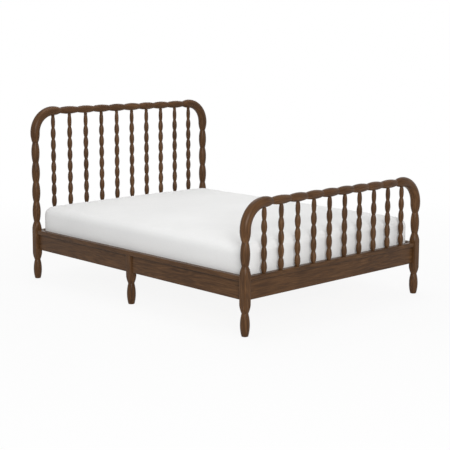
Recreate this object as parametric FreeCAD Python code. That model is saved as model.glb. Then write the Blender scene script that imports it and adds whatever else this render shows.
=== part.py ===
"""Spindle bed for a 1524 x 2032 mm mattress.

Turned corner posts run up into bent corner pieces that carry a beaded top
rail at the head and at the foot, with ten beaded spindles under each rail.
The side rails hook into the posts and carry slats and the mattress.

X is across the bed, Y along it with the head end at +Y, and Z is up. The
origin is on the floor, under the middle of the bed. Millimetres.
"""
import FreeCAD, Part
import math
import os

V = FreeCAD.Vector
ORIGIN = V(0, 0, 0)
AXIS_X = V(1, 0, 0)
AXIS_Y = V(0, 1, 0)
AXIS_Z = V(0, 0, 1)

# Mattress, which sets the size of the frame
MATTRESS_WIDTH = 1524.0
MATTRESS_LENGTH = 2032.0
MATTRESS_HEIGHT = 245.0
MATTRESS_CROWN = 8.0
MATTRESS_CORNER = 62.0
MATTRESS_TOP_ROUND = 56.0
MATTRESS_BASE_ROUND = 24.0
SOFT_GAP = 0.3

# Frame: distances between the axes of the four posts
POST_SPACING_X = 1576.0
POST_SPACING_Y = 2100.0

# Turnings of the posts, legs and top rails
GLIDE_HEIGHT = 2.0
GLIDE_RADIUS = 15.0
GLIDE_CHAMFER = 1.0
WAIST_RADIUS = 20.0
BEAD_RADIUS = 28.75
BEAD_LENGTH = 139.0
BLOCK_RADIUS = 34.0
BLOCK_HALF_FLAT = 26.0
BLOCK_CORNER_ROUND = 9.0
BLOCK_BASE = 204.0
BLOCK_TOP = 339.0
LOWER_WAIST = 135.0
UPPER_WAIST = 408.0
HEAD_POST_BEADS = 4
FOOT_POST_BEADS = 1

# Bent corner pieces and the beaded rails between them
CORNER_RADIUS = 32.5
BEND_RADIUS = 150.0
CORNER_RISE = 217.0
TOP_RAIL_RADIUS = 27.75
TOP_RAIL_HALF = 576.0
TENON_RADIUS = 11.0
TENON_LENGTH = 25.0
FIT_GAP = 0.2
END_GAP = 1.0

# Spindles
SPINDLES_PER_END = 10
SPINDLE_SPACING = 141.5
SPINDLE_WAIST = 11.0
SPINDLE_BEAD = 18.0
SPINDLE_TOP_BEAD = 15.0
SPINDLE_RING = 12.5
SPINDLE_PITCH = 80.0
SPINDLE_FIRST_BEAD = 72.0
SPINDLE_PEG_RADIUS = 8.0
SPINDLE_PEG_LENGTH = 15.0
SPINDLE_NECK_RADIUS = 10.0
SPINDLE_NECK_LENGTH = 22.0
FOOT_SPINDLE_BEADS = 5
HEAD_SPINDLE_BEADS = 10

# Rails: panel below, rounded cap on a tongue above
RAIL_BASE = 208.0
PANEL_TOP = 320.0
RAIL_TOP = 348.0
PANEL_THICKNESS = 24.0
PANEL_SET_OUT = 3.0
PANEL_ROUND = 3.0
CAP_OVERHANG = 14.0
CAP_NOSE_ROUND = 7.0
CAP_EDGE_ROUND = 2.5
TONGUE_WIDTH = 8.0
TONGUE_HEIGHT = 6.0
STUB_THICKNESS = 10.0
STUB_SET_IN = 1.0
STUB_LENGTH = 21.0
STUB_BASE = 224.0
STUB_TOP = 304.0

# Middle legs, lapped over the outside of the side rails
LEG_SET_IN = 10.0
LAP_DEPTH = 10.0
BOLT_RADIUS = 3.0
BOLT_LENGTH = 24.0
BOLT_HEAD_RADIUS = 7.0
BOLT_HEAD_HEIGHT = 3.5
BOLT_HEIGHTS = (217.0, 292.0)

# Slats and what they lie on
LEDGE_HEIGHT = 28.0
LEDGE_WIDTH = 28.0
LEDGE_LENGTH = 2000.0
SLAT_COUNT = 10
SLAT_PITCH = 206.0
SLAT_WIDTH = 100.0
SLAT_THICKNESS = 18.0
SLAT_ROUND = 3.0
BEAM_WIDTH = 60.0
BEAM_HEIGHT = 42.0
BEAM_ABOVE_RAIL_BASE = 4.0
CENTRE_LEG_WIDTH = 44.0
CENTRE_LEG_CHAMFER = 5.0
HANGER_PLATE = 2.5
HANGER_SEAT = 45.0
HANGER_FLANGE = 22.0
HANGER_DROP = 4.0
HANGER_HOLE_RADIUS = 2.5
HANGER_HOLE_SPACING = 20.0

# Hooked rail plates
PLATE_WIDTH = 16.0
PLATE_THICKNESS = 2.5
PLATE_BASE = 216.0
PLATE_TOP = 312.0
HOOK_HEIGHTS = (230.0, 278.0)
HOOK_RISE = 16.0
HOOK_DROP = 7.0
HOOK_REACH = 7.0
HOOK_THICKNESS = 3.0
SLOT_RISE = 24.0
SLOT_WIDTH = 5.0
POCKET_DEPTH = 8.0
POCKET_WIDTH = 6.0

# Worked out from the sizes above
POST_X = POST_SPACING_X / 2
POST_Y = POST_SPACING_Y / 2
PANEL_OUTER = -PANEL_SET_OUT
PANEL_INNER = PANEL_OUTER + PANEL_THICKNESS
PANEL_MIDDLE = (PANEL_OUTER + PANEL_INNER) / 2
HEAD_JOINT = UPPER_WAIST + HEAD_POST_BEADS * BEAD_LENGTH
FOOT_JOINT = UPPER_WAIST + FOOT_POST_BEADS * BEAD_LENGTH
BEAM_BASE = RAIL_BASE + BEAM_ABOVE_RAIL_BASE
BEAM_TOP = BEAM_BASE + BEAM_HEIGHT
SLAT_TOP = BEAM_TOP + SLAT_THICKNESS
SPINDLE_PLACES = [
    (number - (SPINDLES_PER_END - 1) / 2) * SPINDLE_SPACING
    for number in range(SPINDLES_PER_END)
]
OUTER_SPINDLES = (0, SPINDLES_PER_END - 1)
ENDS = {"head": 1, "foot": -1}
SIDES = {"left": -1, "right": 1}


def save(shape, name):
    """Write one piece, or one group of like pieces, as its own file."""
    shape.exportStep("parts/" + name + ".step")


def block(x_range, y_range, z_range):
    """Box between two values on each axis."""
    sizes = [high - low for low, high in (x_range, y_range, z_range)]
    return Part.makeBox(*sizes, V(x_range[0], y_range[0], z_range[0]))


def mirrored(shape, normal):
    """The shape seen in a mirror through the origin."""
    return shape.mirror(ORIGIN, normal)


def stood_on(shape, end, side):
    """Carry a shape made at the foot-left post to another post."""
    if ENDS[end] > 0:
        shape = mirrored(shape, AXIS_Y)
    if SIDES[side] > 0:
        shape = mirrored(shape, AXIS_X)
    return shape


# Outlines of turnings: each edge runs upwards beside the Z axis

def straight(radius_0, z_0, radius_1, z_1):
    """Straight side between two stations."""
    return Part.makeLine(V(radius_0, 0, z_0), V(radius_1, 0, z_1))


def bead(z_0, z_1, waist, belly):
    """One bead: an arc that is widest half way between its two waists."""
    middle = V(belly, 0, (z_0 + z_1) / 2)
    return Part.Arc(V(waist, 0, z_0), middle, V(waist, 0, z_1)).toShape()


def half_bead(z_waist, waist, z_full, full):
    """Half a bead: an arc that leaves the full radius without a corner."""
    rise = z_full - z_waist
    swell = full - waist
    arc_radius = (rise ** 2 + swell ** 2) / (2 * swell)
    half_turn = math.asin(abs(rise) / arc_radius) / 2
    middle_z = z_full - math.copysign(arc_radius * math.sin(half_turn), rise)
    middle_radius = full - arc_radius * (1 - math.cos(half_turn))
    stations = [(waist, z_waist), (middle_radius, middle_z), (full, z_full)]
    stations.sort(key=lambda station: station[1])
    points = [V(radius, 0, z) for radius, z in stations]
    return Part.Arc(*points).toShape()


def turned(edges):
    """Solid of revolution round Z from an outline listed upwards."""
    low = edges[0].Vertexes[0].Point
    high = edges[-1].Vertexes[-1].Point
    foot = V(0, 0, low.z)
    top = V(0, 0, high.z)
    closing = [Part.makeLine(foot, low), Part.makeLine(high, top), Part.makeLine(top, foot)]
    outline = Part.Wire(Part.__sortEdges__(edges + closing))
    return Part.Face(outline).revolve(ORIGIN, AXIS_Z, 360)


def peg(radius, z_0, z_1):
    """Side of a round peg or tenon."""
    return straight(radius, z_0, radius, z_1)


def step(radius_0, radius_1, z):
    """Flat shoulder between two radii."""
    return straight(radius_0, z, radius_1, z)


# Posts

def leg_outline():
    """Foot bead, waist and the swell up to the block."""
    return [
        bead(GLIDE_HEIGHT, LOWER_WAIST, WAIST_RADIUS, BEAD_RADIUS),
        half_bead(LOWER_WAIST, WAIST_RADIUS, BLOCK_BASE, BLOCK_RADIUS),
    ]


def squared(turning, z_range):
    """Plane the block square with rounded corners, so that rails can butt on it."""
    half = (-BLOCK_HALF_FLAT, BLOCK_HALF_FLAT)
    square = block(half, half, z_range)
    upright = [edge for edge in square.Edges if abs(edge.tangentAt(edge.FirstParameter).z) > 0.99]
    square = square.makeFillet(BLOCK_CORNER_ROUND, upright)
    around = (-2 * BLOCK_RADIUS, 2 * BLOCK_RADIUS)
    return turning.cut(block(around, around, z_range).cut(square))


def post(bead_count):
    """Foot-left post on its own axis: foot, block, beads and top tenon."""
    edges = leg_outline()
    edges.append(straight(BLOCK_RADIUS, BLOCK_BASE, BLOCK_RADIUS, BLOCK_TOP))
    edges.append(half_bead(UPPER_WAIST, WAIST_RADIUS, BLOCK_TOP, BLOCK_RADIUS))
    for number in range(bead_count):
        z_0 = UPPER_WAIST + number * BEAD_LENGTH
        edges.append(bead(z_0, z_0 + BEAD_LENGTH, WAIST_RADIUS, BEAD_RADIUS))
    joint = UPPER_WAIST + bead_count * BEAD_LENGTH
    edges.append(step(WAIST_RADIUS, TENON_RADIUS, joint))
    edges.append(peg(TENON_RADIUS, joint, joint + TENON_LENGTH))
    body = squared(turned(edges), (LOWER_WAIST, UPPER_WAIST))
    for hollow in (stub_mortise(), plate_recess(), hook_pocket()):
        body = body.cut(hollow)
    return body


def stub_mortise():
    """Mortise in the inner X flat for the stub tenon of the end rail."""
    depth = STUB_LENGTH + END_GAP
    y_0 = STUB_SET_IN
    return block(
        (BLOCK_HALF_FLAT - depth, BLOCK_HALF_FLAT),
        (y_0, y_0 + STUB_THICKNESS),
        (STUB_BASE, STUB_TOP),
    )


def plate_x_range(width):
    """Place across the side rail of something this wide, from the post axis."""
    return (PANEL_MIDDLE - width / 2, PANEL_MIDDLE + width / 2)


def plate_recess():
    """Shallow recess in the inner Y flat for the slotted plate."""
    y_range = (BLOCK_HALF_FLAT - PLATE_THICKNESS, BLOCK_HALF_FLAT)
    return block(plate_x_range(PLATE_WIDTH), y_range, (PLATE_BASE, PLATE_TOP))


def hook_pocket():
    """Deeper pocket behind the slotted plate, where the hooks drop."""
    back = BLOCK_HALF_FLAT - PLATE_THICKNESS
    low = HOOK_HEIGHTS[0] - HOOK_DROP - END_GAP
    high = HOOK_HEIGHTS[-1] + SLOT_RISE
    return block(plate_x_range(POCKET_WIDTH), (back - POCKET_DEPTH, back), (low, high))


def make_posts():
    for end, count in (("head", HEAD_POST_BEADS), ("foot", FOOT_POST_BEADS)):
        corner_post = post(count)
        corner_post.translate(V(-POST_X, -POST_Y, 0))
        for side in SIDES:
            save(stood_on(corner_post, end, side), end + "_post_" + side)


# Bent corner pieces

def corner_piece():
    """Left corner from the post joint at the origin to the top rail joint."""
    straight_rise = CORNER_RISE - BEND_RADIUS
    rail_joint = POST_X - TOP_RAIL_HALF
    lower = turned([half_bead(0, WAIST_RADIUS, straight_rise, CORNER_RADIUS)])
    upper = turned([half_bead(rail_joint, WAIST_RADIUS, BEND_RADIUS, CORNER_RADIUS)])
    upper.rotate(ORIGIN, AXIS_Y, 90)
    upper.translate(V(0, 0, CORNER_RISE))
    section = Part.Face(Part.Wire(Part.makeCircle(CORNER_RADIUS, V(0, 0, straight_rise))))
    bend = section.revolve(V(BEND_RADIUS, 0, straight_rise), AXIS_Y, 90)
    body = bend.fuse([lower, upper])
    hole = TENON_RADIUS + FIT_GAP
    depth = TENON_LENGTH + END_GAP
    post_socket = Part.makeCylinder(hole, depth, ORIGIN)
    rail_socket = Part.makeCylinder(hole, depth, V(rail_joint, 0, CORNER_RISE), -AXIS_X)
    place = POST_X + SPINDLE_PLACES[0]
    neck = spindle_socket(place, CORNER_RISE, CORNER_RADIUS)
    return body.cut([post_socket, rail_socket, neck])


def spindle_socket(x, rail_axis, rail_radius):
    """Hole up into the underside of a rail for the neck of a spindle."""
    low = rail_axis - rail_radius - 1
    depth = SPINDLE_NECK_LENGTH + END_GAP
    return Part.makeCylinder(SPINDLE_NECK_RADIUS + FIT_GAP, depth, V(x, 0, low))


def make_corners():
    for end, joint in (("head", HEAD_JOINT), ("foot", FOOT_JOINT)):
        corner = corner_piece()
        corner.translate(V(-POST_X, -POST_Y, joint))
        for side in SIDES:
            save(stood_on(corner, end, side), end + "_corner_" + side)


# Beaded top rails

def top_rail():
    """Beads along X between the corner pieces, one over each inner spindle."""
    waists = [
        (number - SPINDLES_PER_END / 2) * SPINDLE_SPACING
        for number in range(1, SPINDLES_PER_END)
    ]
    waists[0] = -TOP_RAIL_HALF
    waists[-1] = TOP_RAIL_HALF
    tip = TOP_RAIL_HALF + TENON_LENGTH
    edges = [peg(TENON_RADIUS, -tip, -TOP_RAIL_HALF)]
    edges.append(step(TENON_RADIUS, WAIST_RADIUS, -TOP_RAIL_HALF))
    for z_0, z_1 in zip(waists, waists[1:]):
        edges.append(bead(z_0, z_1, WAIST_RADIUS, TOP_RAIL_RADIUS))
    edges.append(step(WAIST_RADIUS, TENON_RADIUS, TOP_RAIL_HALF))
    edges.append(peg(TENON_RADIUS, TOP_RAIL_HALF, tip))
    body = turned(edges)
    body.rotate(ORIGIN, AXIS_Y, 90)
    inner = SPINDLE_PLACES[1:-1]
    return body.cut([spindle_socket(x, 0, TOP_RAIL_RADIUS) for x in inner])


def make_top_rails():
    for end, joint in (("head", HEAD_JOINT), ("foot", FOOT_JOINT)):
        rail = top_rail()
        rail.translate(V(0, ENDS[end] * POST_Y, joint + CORNER_RISE))
        save(rail, end + "_top_rail")


# Spindles

def spindle(bead_count, shoulder):
    """Spindle on its own axis, from its peg in the cap to its neck in the rail."""
    peg_base = RAIL_TOP - SPINDLE_PEG_LENGTH
    edges = [peg(SPINDLE_PEG_RADIUS, peg_base, RAIL_TOP)]
    edges.append(step(SPINDLE_PEG_RADIUS, SPINDLE_WAIST, RAIL_TOP))
    z_0 = RAIL_TOP
    z_1 = RAIL_TOP + SPINDLE_FIRST_BEAD
    for number in range(bead_count):
        belly = SPINDLE_TOP_BEAD if number == bead_count - 1 else SPINDLE_BEAD
        edges.append(bead(z_0, z_1, SPINDLE_WAIST, belly))
        z_0 = z_1
        z_1 = min(z_0 + SPINDLE_PITCH, shoulder)
    if z_0 < shoulder:
        edges.append(bead(z_0, shoulder, SPINDLE_WAIST, SPINDLE_RING))
    edges.append(step(SPINDLE_WAIST, SPINDLE_NECK_RADIUS, shoulder))
    edges.append(peg(SPINDLE_NECK_RADIUS, shoulder, shoulder + SPINDLE_NECK_LENGTH))
    return turned(edges)


def make_spindles():
    kinds = (
        ("head", HEAD_JOINT, HEAD_SPINDLE_BEADS),
        ("foot", FOOT_JOINT, FOOT_SPINDLE_BEADS),
    )
    for end, joint, bead_count in kinds:
        for number, x in enumerate(SPINDLE_PLACES):
            outer = number in OUTER_SPINDLES
            rail_radius = CORNER_RADIUS if outer else TOP_RAIL_RADIUS
            shoulder = joint + CORNER_RISE - rail_radius - 1
            piece = spindle(bead_count, shoulder)
            piece.translate(V(x, ENDS[end] * POST_Y, 0))
            save(piece, "{}_spindle_{:02d}".format(end, number + 1))


# Rails. Each is drawn along X at the foot, with Y = 0 on the post axes, and
# then turned to its own side of the bed.

def turned_to(shape, side):
    """Carry a rail drawn at the foot to its side of the bed."""
    angle, offset = {
        "foot": (0, V(0, -POST_Y, 0)),
        "head": (180, V(0, POST_Y, 0)),
        "left": (-90, V(-POST_X, 0, 0)),
        "right": (90, V(POST_X, 0, 0)),
    }[side]
    piece = shape.copy()
    piece.rotate(ORIGIN, AXIS_Z, angle)
    piece.translate(offset)
    return piece


def rail_length(side):
    """Length between the flats of the two posts that hold this rail."""
    spacing = POST_SPACING_X if side in ENDS else POST_SPACING_Y
    return spacing - 2 * BLOCK_HALF_FLAT


def long_edges(shape, y, z):
    """Edges along X at one height and one distance from the post axes."""
    return [
        edge for edge in shape.Edges
        if abs(edge.tangentAt(edge.FirstParameter).x) > 0.99
        and abs(edge.CenterOfMass.y - y) < 0.01
        and abs(edge.CenterOfMass.z - z) < 0.01
    ]


def panel(length):
    """Flat board of a rail, with a tongue along its top edge."""
    x_range = (-length / 2, length / 2)
    board = block(x_range, (PANEL_OUTER, PANEL_INNER), (RAIL_BASE, PANEL_TOP))
    board = board.makeFillet(PANEL_ROUND, long_edges(board, PANEL_OUTER, RAIL_BASE))
    return board.fuse(tongue(length, 0))


def tongue(length, gap):
    """Tongue of the panel, or with a gap the groove in the cap."""
    half = TONGUE_WIDTH / 2 + gap
    y_range = (PANEL_MIDDLE - half, PANEL_MIDDLE + half)
    z_range = (PANEL_TOP, PANEL_TOP + TONGUE_HEIGHT + 2 * gap)
    return block((-length / 2, length / 2), y_range, z_range)


def cap(length):
    """Rounded cap that stands proud of the panel and covers its top edge."""
    outer = PANEL_OUTER - CAP_OVERHANG
    strip = block((-length / 2, length / 2), (outer, PANEL_INNER), (PANEL_TOP, RAIL_TOP))
    strip = strip.makeFillet(CAP_NOSE_ROUND, long_edges(strip, outer, RAIL_TOP))
    eased = long_edges(strip, outer, PANEL_TOP) + long_edges(strip, PANEL_INNER, RAIL_TOP)
    return strip.makeFillet(CAP_EDGE_ROUND, eased).cut(tongue(length, FIT_GAP))


def end_panel():
    """End rail: a panel with a stub tenon into each post."""
    length = rail_length("foot")
    reach = length / 2 + STUB_LENGTH
    y_range = (STUB_SET_IN, STUB_SET_IN + STUB_THICKNESS)
    stub = block((-reach, reach), y_range, (STUB_BASE, STUB_TOP))
    return panel(length).fuse(stub)


def end_cap():
    """Cap of an end rail, bored for the pegs of the spindles."""
    peg_hole = SPINDLE_PEG_RADIUS + FIT_GAP
    depth = SPINDLE_PEG_LENGTH + END_GAP
    holes = [Part.makeCylinder(peg_hole, depth, V(x, 0, RAIL_TOP - depth)) for x in SPINDLE_PLACES]
    return cap(rail_length("foot")).cut(holes)


def side_panel():
    """Side rail: housed for the middle leg and recessed for the hook plates."""
    length = rail_length("left")
    housing = block(
        (-BLOCK_HALF_FLAT, BLOCK_HALF_FLAT),
        (PANEL_OUTER, PANEL_OUTER + LAP_DEPTH),
        (RAIL_BASE, PANEL_TOP),
    )
    recess = block(
        (-length / 2, PLATE_THICKNESS - length / 2),
        plate_x_range(PLATE_WIDTH),
        (PLATE_BASE, PLATE_TOP),
    )
    return panel(length).cut([housing, recess, mirrored(recess, AXIS_X)] + bolt_holes())


def bolt_holes():
    """Clearance holes for the bolts that hold the middle leg."""
    radius = BOLT_RADIUS + FIT_GAP
    reach = BOLT_LENGTH + END_GAP
    return [
        Part.makeCylinder(radius, reach, V(0, PANEL_INNER, z), -AXIS_Y)
        for z in BOLT_HEIGHTS
    ]


def make_rails():
    for end in ENDS:
        save(turned_to(end_panel(), end), end + "_rail")
        save(turned_to(end_cap(), end), end + "_rail_cap")
    for side in SIDES:
        save(turned_to(side_panel(), side), "side_rail_" + side)
        save(turned_to(cap(rail_length(side)), side), "side_rail_cap_" + side)


# Middle legs

def middle_leg():
    """Turned like the foot of a post, its block lapped over the side rail."""
    edges = leg_outline()
    edges.append(straight(BLOCK_RADIUS, BLOCK_BASE, BLOCK_RADIUS, PANEL_TOP))
    body = squared(turned(edges), (LOWER_WAIST, PANEL_TOP))
    body.translate(V(0, LEG_SET_IN, 0))
    lap_face = PANEL_OUTER + LAP_DEPTH
    reach = 2 * BLOCK_RADIUS
    waste = block((-reach, reach), (lap_face, lap_face + 2 * reach), (RAIL_BASE, PANEL_TOP))
    return body.cut([waste] + bolt_holes())


def bolt(z):
    """Low-headed bolt from inside the rail into the lap of the leg."""
    shank = Part.makeCylinder(BOLT_RADIUS, BOLT_LENGTH, V(0, PANEL_INNER, z), -AXIS_Y)
    head = Part.makeCylinder(BOLT_HEAD_RADIUS, BOLT_HEAD_HEIGHT, V(0, PANEL_INNER, z), AXIS_Y)
    return head.fuse(shank)


def make_middle_legs():
    bolts = [bolt(z) for z in BOLT_HEIGHTS]
    group = []
    for side in SIDES:
        save(turned_to(middle_leg(), side), "mid_leg_" + side)
        group += [turned_to(piece, side) for piece in bolts]
    save(Part.makeCompound(group), "mid_leg_bolts")


# Slats, ledges and the centre support

def make_ledges():
    y_range = (PANEL_INNER, PANEL_INNER + LEDGE_WIDTH)
    z_range = (BEAM_TOP - LEDGE_HEIGHT, BEAM_TOP)
    strip = block((-LEDGE_LENGTH / 2, LEDGE_LENGTH / 2), y_range, z_range)
    for side in SIDES:
        save(turned_to(strip, side), "slat_ledge_" + side)


def make_slats():
    for number in range(SLAT_COUNT):
        y = (number - (SLAT_COUNT - 1) / 2) * SLAT_PITCH
        slat = block(
            (-MATTRESS_WIDTH / 2, MATTRESS_WIDTH / 2),
            (y - SLAT_WIDTH / 2, y + SLAT_WIDTH / 2),
            (BEAM_TOP, SLAT_TOP),
        )
        upper = long_edges(slat, y - SLAT_WIDTH / 2, SLAT_TOP)
        upper += long_edges(slat, y + SLAT_WIDTH / 2, SLAT_TOP)
        save(slat.makeFillet(SLAT_ROUND, upper), "slat_{:02d}".format(number + 1))


def beam_end():
    """Distance of the beam's end from the middle, clear of the hanger plate."""
    return POST_Y - PANEL_INNER - HANGER_PLATE


def hanger():
    """Folded steel hanger that carries the foot end of the centre beam."""
    half = BEAM_WIDTH / 2
    outer_half = half + HANGER_PLATE
    face = -beam_end()
    seat_y = (face, face + HANGER_SEAT)
    z_range = (BEAM_BASE - HANGER_PLATE, BEAM_TOP - HANGER_DROP)
    tray = block((-outer_half, outer_half), seat_y, z_range)
    tray = tray.cut(block((-half, half), seat_y, (BEAM_BASE, BEAM_TOP)))
    wide = outer_half + HANGER_FLANGE
    body = tray.fuse(block((-wide, wide), (face - HANGER_PLATE, face), z_range))
    hole_x = outer_half + HANGER_FLANGE / 2
    middle = (BEAM_BASE + BEAM_TOP) / 2
    rows = (middle - HANGER_HOLE_SPACING / 2, middle + HANGER_HOLE_SPACING / 2)
    places = [(x, z) for x in (-hole_x, hole_x) for z in rows]
    holes = [
        Part.makeCylinder(HANGER_HOLE_RADIUS, 2 * HANGER_PLATE, V(x, face, z), -AXIS_Y)
        for x, z in places
    ]
    return body.cut(holes)


def make_centre_support():
    half = BEAM_WIDTH / 2
    beam = block((-half, half), (-beam_end(), beam_end()), (BEAM_BASE, BEAM_TOP))
    foot = V(0, 0, BEAM_BASE)
    mortise = Part.makeCylinder(TENON_RADIUS + FIT_GAP, TENON_LENGTH + END_GAP, foot)
    save(beam.cut(mortise), "centre_beam")
    leg_half = (-CENTRE_LEG_WIDTH / 2, CENTRE_LEG_WIDTH / 2)
    leg = block(leg_half, leg_half, (GLIDE_HEIGHT, BEAM_BASE))
    rim = [edge for edge in leg.Edges if edge.BoundBox.ZMax < BEAM_BASE / 2]
    tenon = Part.makeCylinder(TENON_RADIUS, TENON_LENGTH, foot)
    save(leg.makeChamfer(CENTRE_LEG_CHAMFER, rim).fuse(tenon), "centre_leg")
    foot_hanger = hanger()
    save(Part.makeCompound([foot_hanger, mirrored(foot_hanger, AXIS_Y)]), "beam_hangers")


# Hooked rail plates, drawn at the foot-left post on its own axis

def hook(z):
    """Blade through the slotted plate, with a lip that drops behind it."""
    plate_back = BLOCK_HALF_FLAT - PLATE_THICKNESS - FIT_GAP
    tip = BLOCK_HALF_FLAT - HOOK_REACH
    x_0 = plate_x_range(HOOK_THICKNESS)[0]
    corners = [
        (BLOCK_HALF_FLAT, z),
        (plate_back, z),
        (plate_back, z - HOOK_DROP),
        (tip, z - HOOK_DROP),
        (tip, z + HOOK_RISE),
        (BLOCK_HALF_FLAT, z + HOOK_RISE),
    ]
    points = [V(x_0, y, height) for y, height in corners]
    blade = Part.Face(Part.makePolygon(points + points[:1]))
    return blade.extrude(V(HOOK_THICKNESS, 0, 0))


def hook_plate():
    """Plate let into the end of the side rail, with two hooks."""
    y_range = (BLOCK_HALF_FLAT, BLOCK_HALF_FLAT + PLATE_THICKNESS)
    plate = block(plate_x_range(PLATE_WIDTH), y_range, (PLATE_BASE, PLATE_TOP))
    return plate.fuse([hook(z) for z in HOOK_HEIGHTS])


def slot_plate():
    """Plate let into the post, with a slot for each hook."""
    y_range = (BLOCK_HALF_FLAT - PLATE_THICKNESS, BLOCK_HALF_FLAT)
    plate = block(plate_x_range(PLATE_WIDTH), y_range, (PLATE_BASE, PLATE_TOP))
    slots = [block(plate_x_range(SLOT_WIDTH), y_range, (z, z + SLOT_RISE)) for z in HOOK_HEIGHTS]
    return plate.cut(slots)


def make_rail_plates():
    for piece, name in ((hook_plate(), "rail_hook_plates"), (slot_plate(), "post_slot_plates")):
        piece.translate(V(-POST_X, -POST_Y, 0))
        group = [stood_on(piece, end, side) for end in ENDS for side in SIDES]
        save(Part.makeCompound(group), name)


# Glides and mattress

def make_glides():
    disc = Part.makeCylinder(GLIDE_RADIUS, GLIDE_HEIGHT)
    rim = [edge for edge in disc.Edges if edge.BoundBox.ZMax < GLIDE_HEIGHT / 2]
    disc = disc.makeChamfer(GLIDE_CHAMFER, rim)
    leg_x = POST_X - LEG_SET_IN
    places = [V(x, y, 0) for x in (-POST_X, POST_X) for y in (-POST_Y, POST_Y)]
    places += [V(-leg_x, 0, 0), V(leg_x, 0, 0), ORIGIN]
    group = []
    for place in places:
        glide = disc.copy()
        glide.translate(place)
        group.append(glide)
    save(Part.makeCompound(group), "foot_glides")


def make_mattress():
    """Crowned across its width, with rounded corners and edges."""
    half_width = MATTRESS_WIDTH / 2
    half_length = MATTRESS_LENGTH / 2
    base = SLAT_TOP + SOFT_GAP
    shoulder = base + MATTRESS_HEIGHT
    corners = [V(x, -half_length, z) for x, z in (
        (-half_width, shoulder), (-half_width, base), (half_width, base), (half_width, shoulder)
    )]
    crown = Part.Arc(corners[3], V(0, -half_length, shoulder + MATTRESS_CROWN), corners[0])
    outline = Part.Wire([*Part.makePolygon(corners).Edges, crown.toShape()])
    body = Part.Face(outline).extrude(V(0, MATTRESS_LENGTH, 0))
    upright = [edge for edge in body.Edges if abs(edge.tangentAt(0).z) > 0.9]
    body = body.makeFillet(MATTRESS_CORNER, upright)
    low = [edge for edge in body.Edges if edge.BoundBox.ZMax < base + 1]
    body = body.makeFillet(MATTRESS_BASE_ROUND, low)
    high = [edge for edge in body.Edges if edge.BoundBox.ZMin > shoulder - 1]
    save(body.makeFillet(MATTRESS_TOP_ROUND, high), "mattress")


os.makedirs("parts", exist_ok=True)
make_posts()
make_corners()
make_top_rails()
make_spindles()
make_rails()
make_middle_legs()
make_ledges()
make_slats()
make_centre_support()
make_rail_plates()
make_glides()
make_mattress()
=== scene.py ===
import math

import bmesh
import bpy
from mathutils import Matrix, Vector, noise
from mathutils.bvhtree import BVHTree


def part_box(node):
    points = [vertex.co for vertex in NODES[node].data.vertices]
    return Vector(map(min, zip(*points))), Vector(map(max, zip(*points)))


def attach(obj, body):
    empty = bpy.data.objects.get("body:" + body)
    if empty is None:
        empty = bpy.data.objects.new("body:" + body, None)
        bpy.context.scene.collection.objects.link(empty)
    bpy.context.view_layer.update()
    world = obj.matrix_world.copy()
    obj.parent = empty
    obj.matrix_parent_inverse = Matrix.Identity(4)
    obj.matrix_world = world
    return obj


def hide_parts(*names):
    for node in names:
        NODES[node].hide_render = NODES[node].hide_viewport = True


# Looks of the spindle bed: stained walnut frame, softwood slats and a mattress
# in a plain white cover, on a pale floor. Metres, X across the bed, head at +Y.

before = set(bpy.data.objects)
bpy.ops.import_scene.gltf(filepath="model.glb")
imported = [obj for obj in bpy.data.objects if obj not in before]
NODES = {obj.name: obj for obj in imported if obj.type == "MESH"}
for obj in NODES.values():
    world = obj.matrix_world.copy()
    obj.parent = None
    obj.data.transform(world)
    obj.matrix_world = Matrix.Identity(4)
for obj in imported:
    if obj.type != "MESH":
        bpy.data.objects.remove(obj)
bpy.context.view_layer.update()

# Camera, as solved from the photograph
CAMERA_PLACE = Vector((-5.0467, -5.3931, 1.6941))
CAMERA_TILT = math.radians(-7.416)
CAMERA_ROLL = math.radians(-0.109)
CAMERA_TURN = math.radians(-43.339)
CAMERA_LENS = 87.45
CAMERA_SHIFT_Y = -0.1

# Mattress pad: skin, filling by cloth simulation, and squareness of its corners
WELD_GAP = 0.0001
REMESH_VOXEL = 0.012
START_INSET = 0.007
CLOTH_PRESSURE = 4.0
CLOTH_FRAMES = 20
SWELL_LIMIT = 0.011
SMOOTH_ROUNDS = 3
CORNER_REACH = 0.062
CORNER_SQUARENESS = 3.3

# Puckers on the sides of the cover, waves on its top
PUCKER_DEPTH = 0.0012
PUCKER_SCALE = 17.0
FINE_PUCKER_SCALE = 46.0
TOP_WAVE_DEPTH = 0.0015
TOP_WAVE_SCALE = (2.6, 1.9)

# Piping round the lower edge of the cover
PIPING_RADIUS = 0.0032
PIPING_RISE = 0.028
PIPING_POINTS = 240
PIPING_SUNK = 0.4

# Cloth colours, and the scale of each weave
COVER_WHITE = (0.79, 0.79, 0.785)
COVER_WEAVE = 420.0
PIPING_WHITE = (0.80, 0.80, 0.80)
PIPING_WEAVE = 700.0
THREAD_SHADE = (0.55, 0.55, 0.55)
CLOUD_SHADE = 0.955

# Bent corners of the frame, for the run of their grain
CORNER_RADIUS = 0.0325
BEND_RADIUS = 0.150

# Walnut stain, from the darkest streaks to the lightest
STAIN = (
    (0.06, (0.034, 0.0160, 0.0072)),
    (0.40, (0.070, 0.0330, 0.0135)),
    (0.66, (0.098, 0.0470, 0.0190)),
    (0.95, (0.158, 0.0800, 0.0350)),
)
PORE_STAIN = (0.022, 0.011, 0.006)
PIECE_TONES = (0.93, 1.07)

# Painted shade on the rails under their caps: a dark line in the colour that stands in for the
# shadow of the caps' overhang
CAP_SHADE_PAINT_COLOUR = (0.012, 0.007, 0.004)
CAP_SHADE_PAINT_REACH = 0.016
CAP_SHADE_PAINT_LINE = 0.006
CAP_SHADE_PAINT_PAST_CAP = 0.0002
SIDE_RAIL_PAINTED_SHADE = 0.42
END_RAIL_PAINTED_SHADE = 0.12

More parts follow.
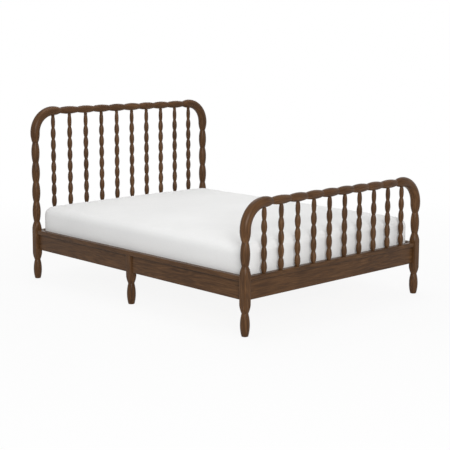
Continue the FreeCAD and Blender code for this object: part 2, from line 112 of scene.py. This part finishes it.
# Bare pine, from early to late wood
PINE = (
    (0.0, (0.66, 0.47, 0.27)),
    (0.72, (0.60, 0.40, 0.21)),
    (0.93, (0.43, 0.245, 0.11)),
    (1.0, (0.63, 0.44, 0.25)),
)
PINE_STREAK = (0.50, 0.32, 0.16)
PINE_KNOT = (0.20, 0.09, 0.035)

# Screws of the slats and of the beam hangers. Recesses are in shares of the radius.
SCREW_SEGMENTS = 32
SCREW_RINGS = 10
RECESS_DEPTH = 0.45
RECESS_REACH = 0.65
RECESS_HALF_WIDTH = 0.13
SLAT_SCREW_RADIUS = 0.0045
SLAT_SCREW_RISE = 0.0002
SLAT_SCREW_INSET = 0.014
HANGER_SCREW_RADIUS = 0.0048
HANGER_SCREW_RISE = 0.0018
HANGER_PLATE = 0.0025
HANGER_SCREW_INSET = 0.011
HANGER_SCREW_HEIGHTS = (0.223, 0.243)

# Floor and the light from all round
FLOOR_HALF_SIDE = 30.0
FLOOR_GREY = 0.74
FLOOR_GLOW = 0.90
FADE_START = 1.6
FADE_END = 4.5
AMBIENT = 0.50

# Lights: name, place, aim, side of the square, watts
LIGHTS = (
    ("key", (-5.1, -7.4, 3.6), (0.0, -0.4, 0.4), 3.4, 492.0),
    ("side", (-4.2, 0.6, 3.9), (-0.6, 0.0, 0.3), 1.4, 5.0),
    ("top", (0.0, 0.2, 4.4), (0.0, 0.2, 0.4), 2.6, 56.0),
    ("back", (3.8, 4.6, 3.0), (0.0, 0.4, 0.4), 3.0, 60.0),
)


# Shader trees

class Nodes:
    """A node tree and short calls that add nodes to it."""

    def __init__(self, owner):
        owner.use_nodes = True
        self.tree = owner.node_tree

    def link(self, source, target):
        """Join an output to an input, or write a plain value on the input."""
        if isinstance(source, bpy.types.NodeSocket):
            self.tree.links.new(source, target)
        else:
            target.default_value = source

    def add(self, kind, inputs=(), **settings):
        """New node with its properties set and its inputs joined by index or name."""
        node = self.tree.nodes.new(kind)
        for key, value in settings.items():
            setattr(node, key, value)
        for key, value in dict(inputs).items():
            self.link(value, node.inputs[key])
        return node

    def math(self, operation, first, second=0.0):
        node = self.add("ShaderNodeMath", {0: first, 1: second}, operation=operation)
        return node.outputs[0]

    def object_place(self):
        return self.add("ShaderNodeTexCoord").outputs["Object"]

    def scaled(self, vector, scale, shift=(0.0, 0.0, 0.0)):
        inputs = {"Vector": vector, "Scale": scale, "Location": shift}
        node = self.add("ShaderNodeMapping", inputs)
        return node.outputs["Vector"]

    def noise(self, vector, scale, detail=2.0, distortion=0.0, roughness=0.5):
        inputs = {
            "Vector": vector,
            "Scale": scale,
            "Detail": detail,
            "Distortion": distortion,
            "Roughness": roughness,
        }
        return self.add("ShaderNodeTexNoise", inputs).outputs["Fac"]

    def ranged(self, value, low, high, low_out=0.0, high_out=1.0):
        inputs = {"Value": value, 1: low, 2: high, 3: low_out, 4: high_out}
        return self.add("ShaderNodeMapRange", inputs).outputs["Result"]

    def ramp(self, factor, stops):
        node = self.add("ShaderNodeValToRGB", {"Fac": factor})
        elements = node.color_ramp.elements
        while len(elements) < len(stops):
            elements.new(0.5)
        for element, (place, colour) in zip(elements, stops):
            element.position = place
            element.color = (*colour, 1.0)
        return node.outputs["Color"]

    def mixed(self, factor, first, second, blend="MIX"):
        node = self.add("ShaderNodeMix", data_type="RGBA", blend_type=blend)
        sockets = {socket.identifier: socket for socket in node.inputs}
        self.link(factor, sockets["Factor_Float"])
        for name, value in (("A_Color", first), ("B_Color", second)):
            whole = (*value, 1.0) if isinstance(value, tuple) else value
            self.link(whole, sockets[name])
        return next(s for s in node.outputs if s.identifier == "Result_Color")

    def seen_directly(self):
        """1 for rays that show the background: camera, glossy and transmission rays."""
        rays = self.add("ShaderNodeLightPath").outputs
        seen = self.math("MAXIMUM", rays["Is Camera Ray"], rays["Is Glossy Ray"])
        return self.math("MAXIMUM", seen, rays["Is Transmission Ray"])


class Shader(Nodes):
    """A material and its surface shader."""

    def __init__(self, name):
        self.material = bpy.data.materials.new(name)
        super().__init__(self.material)
        self.surface = self.tree.nodes["Principled BSDF"]

    def bumped(self, height, strength, distance):
        inputs = {"Height": height, "Strength": strength, "Distance": distance}
        node = self.add("ShaderNodeBump", inputs)
        self.link(node.outputs["Normal"], self.surface.inputs["Normal"])

    def set(self, **values):
        """Write constants on the shader's own sockets."""
        for name, value in values.items():
            self.surface.inputs[name.replace("_", " ")].default_value = value


# Wood

def along_axis(shader, axis):
    """Place turned so that the named axis lies along Z, the way of the grain."""
    quarter = math.pi / 2
    turn = {"X": (0.0, quarter, 0.0), "Y": (quarter, 0.0, 0.0), "Z": (0.0, 0.0, 0.0)}
    inputs = {"Vector": shader.object_place(), "Rotation": turn[axis]}
    return shader.add("ShaderNodeMapping", inputs).outputs["Vector"]


def along_bend(shader, node_name):
    """Place with the grain following the bend of a corner piece."""
    low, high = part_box(node_name)
    outward = 1.0 if high.x > 0 else -1.0
    outer_x = high.x if outward > 0 else low.x
    centre_x = outer_x - outward * (CORNER_RADIUS + BEND_RADIUS)
    centre_z = high.z - CORNER_RADIUS - BEND_RADIUS
    parts = shader.add("ShaderNodeSeparateXYZ", {0: shader.object_place()})
    past_centre = shader.math("SUBTRACT", parts.outputs["X"], centre_x)
    out = shader.math("MULTIPLY", past_centre, outward)
    up = shader.math("SUBTRACT", parts.outputs["Z"], centre_z)
    bent_out = shader.math("MAXIMUM", out, 0.0)
    bent_up = shader.math("MAXIMUM", up, 0.0)
    across = shader.math("SQRT", shader.math(
        "ADD", shader.math("POWER", bent_out, 2.0), shader.math("POWER", bent_up, 2.0)
    ))
    turned = shader.math("MULTIPLY", shader.math("ARCTAN2", bent_up, bent_out), BEND_RADIUS)
    straight = shader.math(
        "SUBTRACT", shader.math("MINIMUM", up, 0.0), shader.math("MINIMUM", out, 0.0)
    )
    run = shader.math("ADD", turned, straight)
    place = shader.add(
        "ShaderNodeCombineXYZ", {"X": across, "Y": parts.outputs["Y"], "Z": run}
    )
    return place.outputs["Vector"]


def with_painted_cap_shade(shader, colour, strength):
    """Painted shade on a rail in the corner under its cap, standing in for the shadow line of
    the cap's overhang.
    """
    cap_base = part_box("foot_rail_cap")[0].z
    height = shader.add("ShaderNodeSeparateXYZ", {0: shader.object_place()}).outputs["Z"]
    # painted shade: darker towards the cap's lower edge, on the rail face just below it
    painted_shade_ramp = shader.ranged(height, cap_base - CAP_SHADE_PAINT_REACH, cap_base - CAP_SHADE_PAINT_LINE, 0.0, strength)
    below = shader.math("LESS_THAN", height, cap_base + CAP_SHADE_PAINT_PAST_CAP)
    return shader.mixed(shader.math("MULTIPLY", painted_shade_ramp, below), colour, CAP_SHADE_PAINT_COLOUR)


def dark_wood(name, place_of, course, painted_cap_shade=0.0):
    """Walnut stain under satin lacquer: growth bands, streaks and open pores, and, on the
    rails, painted shade under the caps.
    """
    shader = Shader(name)
    place = place_of(shader, course)
    bands = shader.noise(shader.scaled(place, (17.0, 17.0, 1.6)), 1.0, 2.0, 0.6)
    rings = shader.math("SINE", shader.math("MULTIPLY", bands, 62.0))
    streaks = shader.noise(shader.scaled(place, (130.0, 130.0, 7.0)), 1.0, 4.0, 0.4, 0.62)
    pores = shader.noise(shader.scaled(place, (900.0, 900.0, 22.0)), 1.0, 2.0, 0.0, 0.6)
    clouds = shader.noise(place, 4.1, 2.0)
    ring_tone = shader.ranged(rings, -1.0, 1.0, 0.0, 0.24)
    streak_tone = shader.ranged(streaks, 0.30, 0.70, 0.08, 0.50)
    cloud_tone = shader.ranged(clouds, 0.35, 0.65, 0.0, 0.18)
    tone = shader.math("ADD", ring_tone, shader.math("ADD", streak_tone, cloud_tone))
    colour = shader.ramp(tone, STAIN)
    pore_mask = shader.ranged(pores, 0.60, 0.70)
    darkened = shader.mixed(shader.math("MULTIPLY", pore_mask, 0.55), colour, PORE_STAIN)
    piece = shader.add("ShaderNodeObjectInfo").outputs["Random"]
    value = shader.ranged(piece, 0.0, 1.0, *PIECE_TONES)
    toned = shader.add("ShaderNodeHueSaturation", {"Value": value, "Color": darkened})
    stained = toned.outputs["Color"]
    if painted_cap_shade > 0.0:
        # painted shade under the rail caps, mixed into the stain colour, so from here stained
        # holds stain and painted shade
        stained = with_painted_cap_shade(shader, stained, painted_cap_shade)
    shader.link(stained, shader.surface.inputs["Base Color"])
    rough = shader.ranged(streaks, 0.25, 0.75, 0.27, 0.38)
    shader.link(rough, shader.surface.inputs["Roughness"])
    height = shader.math("SUBTRACT", shader.math("MULTIPLY", streaks, 0.35), pore_mask)
    shader.bumped(height, 0.35, 0.0004)
    shader.set(Specular_IOR_Level=0.12)
    return shader.material


def softwood(name, axis):
    """Bare planed pine: wide growth bands, fine streaks and a few knots."""
    shader = Shader(name)
    place = along_axis(shader, axis)
    bands = shader.noise(shader.scaled(place, (9.0, 9.0, 0.5)), 1.0, 2.0, 0.8)
    rings = shader.math("FRACT", shader.math("MULTIPLY", bands, 21.0))
    fine = shader.noise(shader.scaled(place, (260.0, 260.0, 6.0)), 1.0, 4.0)
    colour = shader.ramp(rings, PINE)
    streaked = shader.mixed(shader.ranged(fine, 0.35, 0.7, 0.0, 0.35), colour, PINE_STREAK)
    knots = shader.add(
        "ShaderNodeTexVoronoi",
        {"Vector": shader.scaled(place, (7.0, 7.0, 2.6)), "Scale": 1.0, "Randomness": 1.0},
    ).outputs["Distance"]
    knotted = shader.mixed(shader.ranged(knots, 0.05, 0.11, 0.85, 0.0), streaked, PINE_KNOT)
    shader.link(knotted, shader.surface.inputs["Base Color"])
    shader.link(shader.ranged(fine, 0.3, 0.7, 0.52, 0.66), shader.surface.inputs["Roughness"])
    shader.bumped(shader.math("ADD", rings, fine), 0.22, 0.0003)
    shader.set(Specular_IOR_Level=0.35)
    return shader.material


# Steel, glides and cloth

def zinc_steel():
    """Zinc-plated sheet: spangled tone, rolling marks and a few dull patches."""
    shader = Shader("zinc_steel")
    place = shader.object_place()
    marks = shader.noise(shader.scaled(place, (40.0, 900.0, 40.0)), 1.0, 4.0)
    patches = shader.noise(place, 55.0, 3.0)
    spangle = shader.add(
        "ShaderNodeTexVoronoi", {"Vector": place, "Scale": 240.0}
    ).outputs["Color"]
    base = shader.ramp(patches, ((0.3, (0.40, 0.41, 0.43)), (0.7, (0.58, 0.59, 0.61))))
    spangled = shader.mixed(0.12, base, spangle, "SOFT_LIGHT")
    shader.link(spangled, shader.surface.inputs["Base Color"])
    rough = shader.math("ADD", shader.ranged(marks, 0.3, 0.7, 0.24, 0.36), shader.ranged(
        patches, 0.4, 0.7, 0.0, 0.14
    ))
    shader.link(rough, shader.surface.inputs["Roughness"])
    shader.bumped(marks, 0.12, 0.0002)
    shader.set(Metallic=1.0)
    return shader.material


def moulded_plastic():
    """Dark brown moulded glide with a fine spark-eroded grain."""
    shader = Shader("moulded_plastic")
    place = shader.object_place()
    grain = shader.noise(place, 1500.0, 2.0)
    scuffs = shader.noise(place, 90.0, 4.0)
    colour = shader.ramp(scuffs, ((0.35, (0.030, 0.024, 0.020)), (0.75, (0.060, 0.050, 0.043))))
    shader.link(colour, shader.surface.inputs["Base Color"])
    shader.link(shader.ranged(scuffs, 0.3, 0.7, 0.45, 0.65), shader.surface.inputs["Roughness"])
    shader.bumped(grain, 0.3, 0.0001)
    return shader.material


def cotton(name, colour, weave_scale):
    """Plain-woven cotton: threads both ways, slubs and a soft sheen."""
    shader = Shader(name)
    place = shader.object_place()
    warp = shader.add(
        "ShaderNodeTexWave",
        {"Vector": place, "Scale": weave_scale, "Distortion": 0.6, "Detail Scale": 2.0},
        bands_direction="DIAGONAL",
    ).outputs["Fac"]
    mirrored = shader.scaled(place, (1.0, -1.0, 1.0))
    weft = shader.add(
        "ShaderNodeTexWave",
        {"Vector": mirrored, "Scale": weave_scale, "Distortion": 0.6},
        bands_direction="DIAGONAL",
    ).outputs["Fac"]
    weave = shader.math("MAXIMUM", warp, weft)
    slubs = shader.noise(shader.scaled(place, (9.0, 150.0, 150.0)), 1.0, 3.0)
    clouds = shader.noise(place, 2.3, 3.0)
    shade = shader.math("ADD", shader.ranged(clouds, 0.3, 0.7, 0.0, 0.6), shader.ranged(
        slubs, 0.3, 0.7, 0.0, 0.4
    ))
    darker = tuple(value * CLOUD_SHADE for value in colour)
    tint = shader.ramp(shade, ((0.2, darker), (0.8, colour)))
    woven = shader.mixed(shader.ranged(weave, 0.0, 0.5, 0.07, 0.0), tint, THREAD_SHADE)
    shader.link(woven, shader.surface.inputs["Base Color"])
    shader.link(shader.ranged(slubs, 0.3, 0.7, 0.82, 0.92), shader.surface.inputs["Roughness"])
    shader.bumped(shader.math("ADD", weave, slubs), 0.10, 0.0004)
    shader.set(Specular_IOR_Level=0.25, Sheen_Weight=0.15, Sheen_Roughness=0.5)
    return shader.material


def dress(material, *node_names):
    """Give CAD nodes a material."""
    for node_name in node_names:
        NODES[node_name].data.materials.clear()
        NODES[node_name].data.materials.append(material)


def dress_frame():
    ends = ("head", "foot")
    sides = ("left", "right")
    upright = dark_wood("dark_wood_upright", along_axis, "Z")
    # the end and side rails get painted shade under their caps
    across = dark_wood("dark_wood_across", along_axis, "X", END_RAIL_PAINTED_SHADE)
    lengthwise = dark_wood("dark_wood_lengthwise", along_axis, "Y", SIDE_RAIL_PAINTED_SHADE)
    for end in ends:
        dress(across, end + "_rail", end + "_rail_cap", end + "_top_rail")
        dress(upright, *(name for name in NODES if name.startswith(end + "_spindle_")))
        for side in sides:
            dress(upright, end + "_post_" + side)
            corner = end + "_corner_" + side
            dress(dark_wood("dark_wood_" + corner, along_bend, corner), corner)
    for side in sides:
        dress(lengthwise, "side_rail_" + side, "side_rail_cap_" + side)
        dress(upright, "mid_leg_" + side)


def dress_base():
    lengthwise = softwood("softwood_lengthwise", "Y")
    dress(lengthwise, "slat_ledge_left", "slat_ledge_right", "centre_beam")
    dress(softwood("softwood_upright", "Z"), "centre_leg")
    slats = [name for name in NODES if name.startswith("slat_") and name[-2:].isdigit()]
    dress(softwood("softwood_across", "X"), *slats)
    steel = zinc_steel()
    dress(steel, "beam_hangers", "mid_leg_bolts", "rail_hook_plates", "post_slot_plates")
    slat_screws(steel)
    hanger_screws(steel)
    dress(moulded_plastic(), "foot_glides")


# Mattress

def applied(piece):
    """Bake the piece's modifiers into its mesh."""
    evaluated = piece.evaluated_get(bpy.context.evaluated_depsgraph_get())
    final = bpy.data.meshes.new_from_object(evaluated)
    piece.modifiers.clear()
    piece.data = final


def swollen(piece):
    """Fill the cover by a cloth simulation, each point moving only a little."""
    start = [vertex.co.copy() for vertex in piece.data.vertices]
    cloth = piece.modifiers.new("Cloth", "CLOTH")
    cloth.settings.use_pressure = True
    cloth.settings.uniform_pressure_force = CLOTH_PRESSURE
    cloth.settings.effector_weights.gravity = 0.0
    for number in range(1, CLOTH_FRAMES + 1):
        bpy.context.scene.frame_set(number)
    applied(piece)
    bpy.context.scene.frame_set(1)
    for vertex, origin in zip(piece.data.vertices, start):
        move = vertex.co - origin
        if move.length > SWELL_LIMIT:
            vertex.co = origin + move.normalized() * SWELL_LIMIT


def fitted(piece, middle, half):
    """Stretch the filled cover to the width and length of the mattress itself."""
    reach = [max(abs(vertex.co[axis] - middle[axis]) for vertex in piece.data.vertices)
             for axis in (0, 1)]
    stretch = Matrix.Diagonal([half.x / reach[0], half.y / reach[1], 1.0]).to_4x4()
    piece.data.transform(Matrix.Translation(middle) @ stretch @ Matrix.Translation(-middle))


def squared(piece, middle, half):
    """Draw the upright corners of the cover out, since its seams hold them squarer."""
    for vertex in piece.data.vertices:
        offset = vertex.co - middle
        out = [abs(offset[axis]) - half[axis] + CORNER_REACH for axis in (0, 1)]
        if min(out) <= 0.0:
            continue
        blunt = sum(reach ** CORNER_SQUARENESS for reach in out) ** (1.0 / CORNER_SQUARENESS)
        grown = math.hypot(*out) / blunt - 1.0
        for axis in (0, 1):
            vertex.co[axis] += math.copysign(out[axis] * grown, offset[axis])


def pucker(piece, low, high):
    """Faint upright puckers on the sides of the cover and slow waves on its top."""
    middle_z = (low.z + high.z) / 2
    half_height = (high.z - low.z) / 2
    wave_x, wave_y = TOP_WAVE_SCALE
    points = [(vertex.co.copy(), vertex.normal.copy()) for vertex in piece.data.vertices]
    moved = []
    for place, normal in points:
        level = 1.0 - abs(place.z - middle_z) / half_height
        side = normal.xy.length
        run = place.x if abs(normal.y) > abs(normal.x) else place.y
        folds = noise.noise(Vector((run * PUCKER_SCALE, place.z * 2.5, normal.x * 2.0)))
        fine = noise.noise(Vector((run * FINE_PUCKER_SCALE, place.z * 5.0, 7.0)))
        waves = noise.noise(Vector((place.x * wave_x, place.y * wave_y, 3.0)))
        depth = side * level * PUCKER_DEPTH * (folds + 0.5 * fine - 0.7)
        depth += (1.0 - side) * TOP_WAVE_DEPTH * (waves - 0.8) * (place.z > middle_z)
        spot = place + normal * depth
        moved += (spot.x, spot.y, max(spot.z, low.z))
    piece.data.vertices.foreach_set("co", moved)
    piece.data.update()


def piping(pad, low, high):
    """Sewn piping round the lower edge of the cover."""
    tree = BVHTree.FromObject(pad, bpy.context.evaluated_depsgraph_get())
    height = low.z + PIPING_RISE
    mesh = bpy.data.curves.new("mattress_piping", "CURVE")
    mesh.dimensions = "3D"
    mesh.bevel_depth = PIPING_RADIUS
    mesh.bevel_resolution = 3
    line = mesh.splines.new("POLY")
    line.use_cyclic_u = True
    line.points.add(PIPING_POINTS - 1)
    reach = high.xy.length
    for number, point in enumerate(line.points):
        turn = 2 * math.pi * number / PIPING_POINTS
        aim = Vector((math.cos(turn), math.sin(turn), 0.0))
        start = aim * reach * 1.1 + Vector((0.0, 0.0, height))
        hit = tree.ray_cast(start, -aim)[0]
        point.co = (*(hit - aim * PIPING_RADIUS * PIPING_SUNK), 1.0)
    cord = bpy.data.objects.new("mattress_piping", mesh)
    bpy.context.scene.collection.objects.link(cord)
    mesh.materials.append(cotton("piping_cotton", PIPING_WHITE, PIPING_WEAVE))
    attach(cord, "mattress")


def mattress_pad():
    """Soft mattress in its cover, in the space of the CAD mattress."""
    low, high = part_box("mattress")
    middle = (low + high) / 2
    half = (high - low) / 2
    pad = bpy.data.objects.new("mattress_pad", NODES["mattress"].data.copy())
    bpy.context.scene.collection.objects.link(pad)
    shrink = Matrix.Diagonal([(side - START_INSET) / side for side in half]).to_4x4()
    pad.data.transform(Matrix.Translation(middle) @ shrink @ Matrix.Translation(-middle))
    weld = pad.modifiers.new("Weld", "WELD")
    weld.merge_threshold = WELD_GAP
    remesh = pad.modifiers.new("Remesh", "REMESH")
    remesh.voxel_size = REMESH_VOXEL
    remesh.use_smooth_shade = True
    applied(pad)
    swollen(pad)
    pad.modifiers.new("Smooth", "SMOOTH").iterations = SMOOTH_ROUNDS
    pad.modifiers.new("Subdivision", "SUBSURF").levels = 1
    applied(pad)
    fitted(pad, middle, half)
    squared(pad, middle, half)
    pucker(pad, low, high)
    pad.data.shade_smooth()
    pad.data.materials.clear()
    pad.data.materials.append(cotton("mattress_cotton", COVER_WHITE, COVER_WEAVE))
    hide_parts("mattress")
    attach(pad, "mattress")
    piping(pad, low, high)


# Screws

def screw_head(radius, rise):
    """Domed head facing +Z with a cross recess, in rings from the middle out."""
    build = bmesh.new()
    middle = build.verts.new((0.0, 0.0, rise - RECESS_DEPTH * radius))
    rings = []
    for ring in range(1, SCREW_RINGS + 1):
        share = ring / SCREW_RINGS
        row = []
        for number in range(SCREW_SEGMENTS):
            turn = 2 * math.pi * number / SCREW_SEGMENTS
            x = math.cos(turn) * radius * share
            y = math.sin(turn) * radius * share
            z = rise * math.sqrt(max(0.0, 1.0 - share ** 2))
            if share < RECESS_REACH and min(abs(x), abs(y)) < RECESS_HALF_WIDTH * radius:
                z -= RECESS_DEPTH * radius * (1.0 - share)
            row.append(build.verts.new((x, y, z)))
        rings.append(row)
    for number in range(SCREW_SEGMENTS):
        after = (number + 1) % SCREW_SEGMENTS
        build.faces.new((middle, rings[0][number], rings[0][after]))
        for inner, outer in zip(rings, rings[1:]):
            build.faces.new((inner[number], outer[number], outer[after], inner[after]))
    return build


def screws(name, radius, rise, places, facing, material):
    """One object with a screw head at each place, each facing its own way."""
    whole = bmesh.new()
    for place, direction in zip(places, facing):
        head = screw_head(radius, rise)
        turn = Vector(direction).to_track_quat("Z", "Y").to_matrix().to_4x4()
        bmesh.ops.transform(
            head, matrix=Matrix.Translation(place) @ turn, verts=head.verts
        )
        part = bpy.data.meshes.new("head")
        head.to_mesh(part)
        head.free()
        whole.from_mesh(part)
        bpy.data.meshes.remove(part)
    mesh = bpy.data.meshes.new(name)
    whole.to_mesh(mesh)
    whole.free()
    mesh.shade_smooth()
    mesh.materials.append(material)
    piece = bpy.data.objects.new(name, mesh)
    bpy.context.scene.collection.objects.link(piece)
    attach(piece, "frame")


def slat_screws(material):
    """Two screws at each end of each slat, into the ledges."""
    places = []
    for node_name in NODES:
        if not (node_name.startswith("slat_") and node_name[-2:].isdigit()):
            continue
        low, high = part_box(node_name)
        quarter = (high.y - low.y) / 4
        for x in (low.x + SLAT_SCREW_INSET, high.x - SLAT_SCREW_INSET):
            for y in (low.y + quarter, high.y - quarter):
                places.append(Vector((x, y, high.z)))
    up = [(0.0, 0.0, 1.0)] * len(places)
    screws("slat_screws", SLAT_SCREW_RADIUS, SLAT_SCREW_RISE, places, up, material)


def hanger_screws(material):
    """Pan-head screws through the holes of the beam hangers."""
    low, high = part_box("beam_hangers")
    places = []
    inward = []
    for x in (low.x + HANGER_SCREW_INSET, high.x - HANGER_SCREW_INSET):
        for z in HANGER_SCREW_HEIGHTS:
            places.append(Vector((x, low.y + HANGER_PLATE, z)))
            places.append(Vector((x, high.y - HANGER_PLATE, z)))
            inward += [(0.0, 1.0, 0.0), (0.0, -1.0, 0.0)]
    screws("hanger_screws", HANGER_SCREW_RADIUS, HANGER_SCREW_RISE, places, inward, material)


# Stage, lights and camera

def make_floor():
    """Pale floor that fades to the white background away from the bed."""
    mesh = bpy.data.meshes.new("floor")
    build = bmesh.new()
    bmesh.ops.create_grid(build, x_segments=1, y_segments=1, size=FLOOR_HALF_SIDE)
    build.to_mesh(mesh)
    build.free()
    floor = bpy.data.objects.new("floor", mesh)
    bpy.context.scene.collection.objects.link(floor)
    shader = Shader("pale_floor")
    grey = (FLOOR_GREY, FLOOR_GREY, FLOOR_GREY, 1.0)
    shader.set(Base_Color=grey, Roughness=0.8, Specular_IOR_Level=0.2)
    distance = shader.add(
        "ShaderNodeVectorMath", {0: shader.object_place()}, operation="LENGTH"
    ).outputs["Value"]
    fade = shader.ranged(distance, FADE_START, FADE_END, FLOOR_GLOW, 1.0)
    factor = shader.math("MULTIPLY", shader.seen_directly(), fade)
    glow = shader.add("ShaderNodeEmission", {"Color": (1.0, 1.0, 1.0, 1.0), "Strength": 1.0})
    blend = shader.add("ShaderNodeMixShader", {
        0: factor, 1: shader.surface.outputs[0], 2: glow.outputs[0]
    })
    shader.link(blend.outputs[0], shader.tree.nodes["Material Output"].inputs["Surface"])
    mesh.materials.append(shader.material)


def make_world():
    """White background, and soft light from all round."""
    world = bpy.data.worlds.new("studio")
    bpy.context.scene.world = world
    nodes = Nodes(world)
    background = nodes.tree.nodes["Background"].inputs
    background["Color"].default_value = (1.0, 1.0, 1.0, 1.0)
    strength = nodes.ranged(nodes.seen_directly(), 0.0, 1.0, AMBIENT, 1.0)
    nodes.link(strength, background["Strength"])


def area_light(name, place, target, size, power):
    """Square light turned to face the target."""
    data = bpy.data.lights.new(name, "AREA")
    data.shape = "SQUARE"
    data.size = size
    data.energy = power
    light = bpy.data.objects.new(name, data)
    light.location = place
    aim = Vector(target) - Vector(place)
    light.rotation_euler = aim.to_track_quat("-Z", "Y").to_euler()
    bpy.context.scene.collection.objects.link(light)


def make_camera():
    data = bpy.data.cameras.new("camera")
    data.lens = CAMERA_LENS
    data.shift_y = CAMERA_SHIFT_Y
    camera = bpy.data.objects.new("camera", data)
    camera.location = CAMERA_PLACE
    camera.rotation_euler = (math.pi / 2 + CAMERA_TILT, CAMERA_ROLL, CAMERA_TURN)
    bpy.context.scene.collection.objects.link(camera)
    bpy.context.scene.camera = camera


make_camera()
make_floor()
make_world()
for light in LIGHTS:
    area_light(*light)
bpy.context.scene.view_settings.view_transform = "Standard"
dress_frame()
dress_base()
mattress_pad()
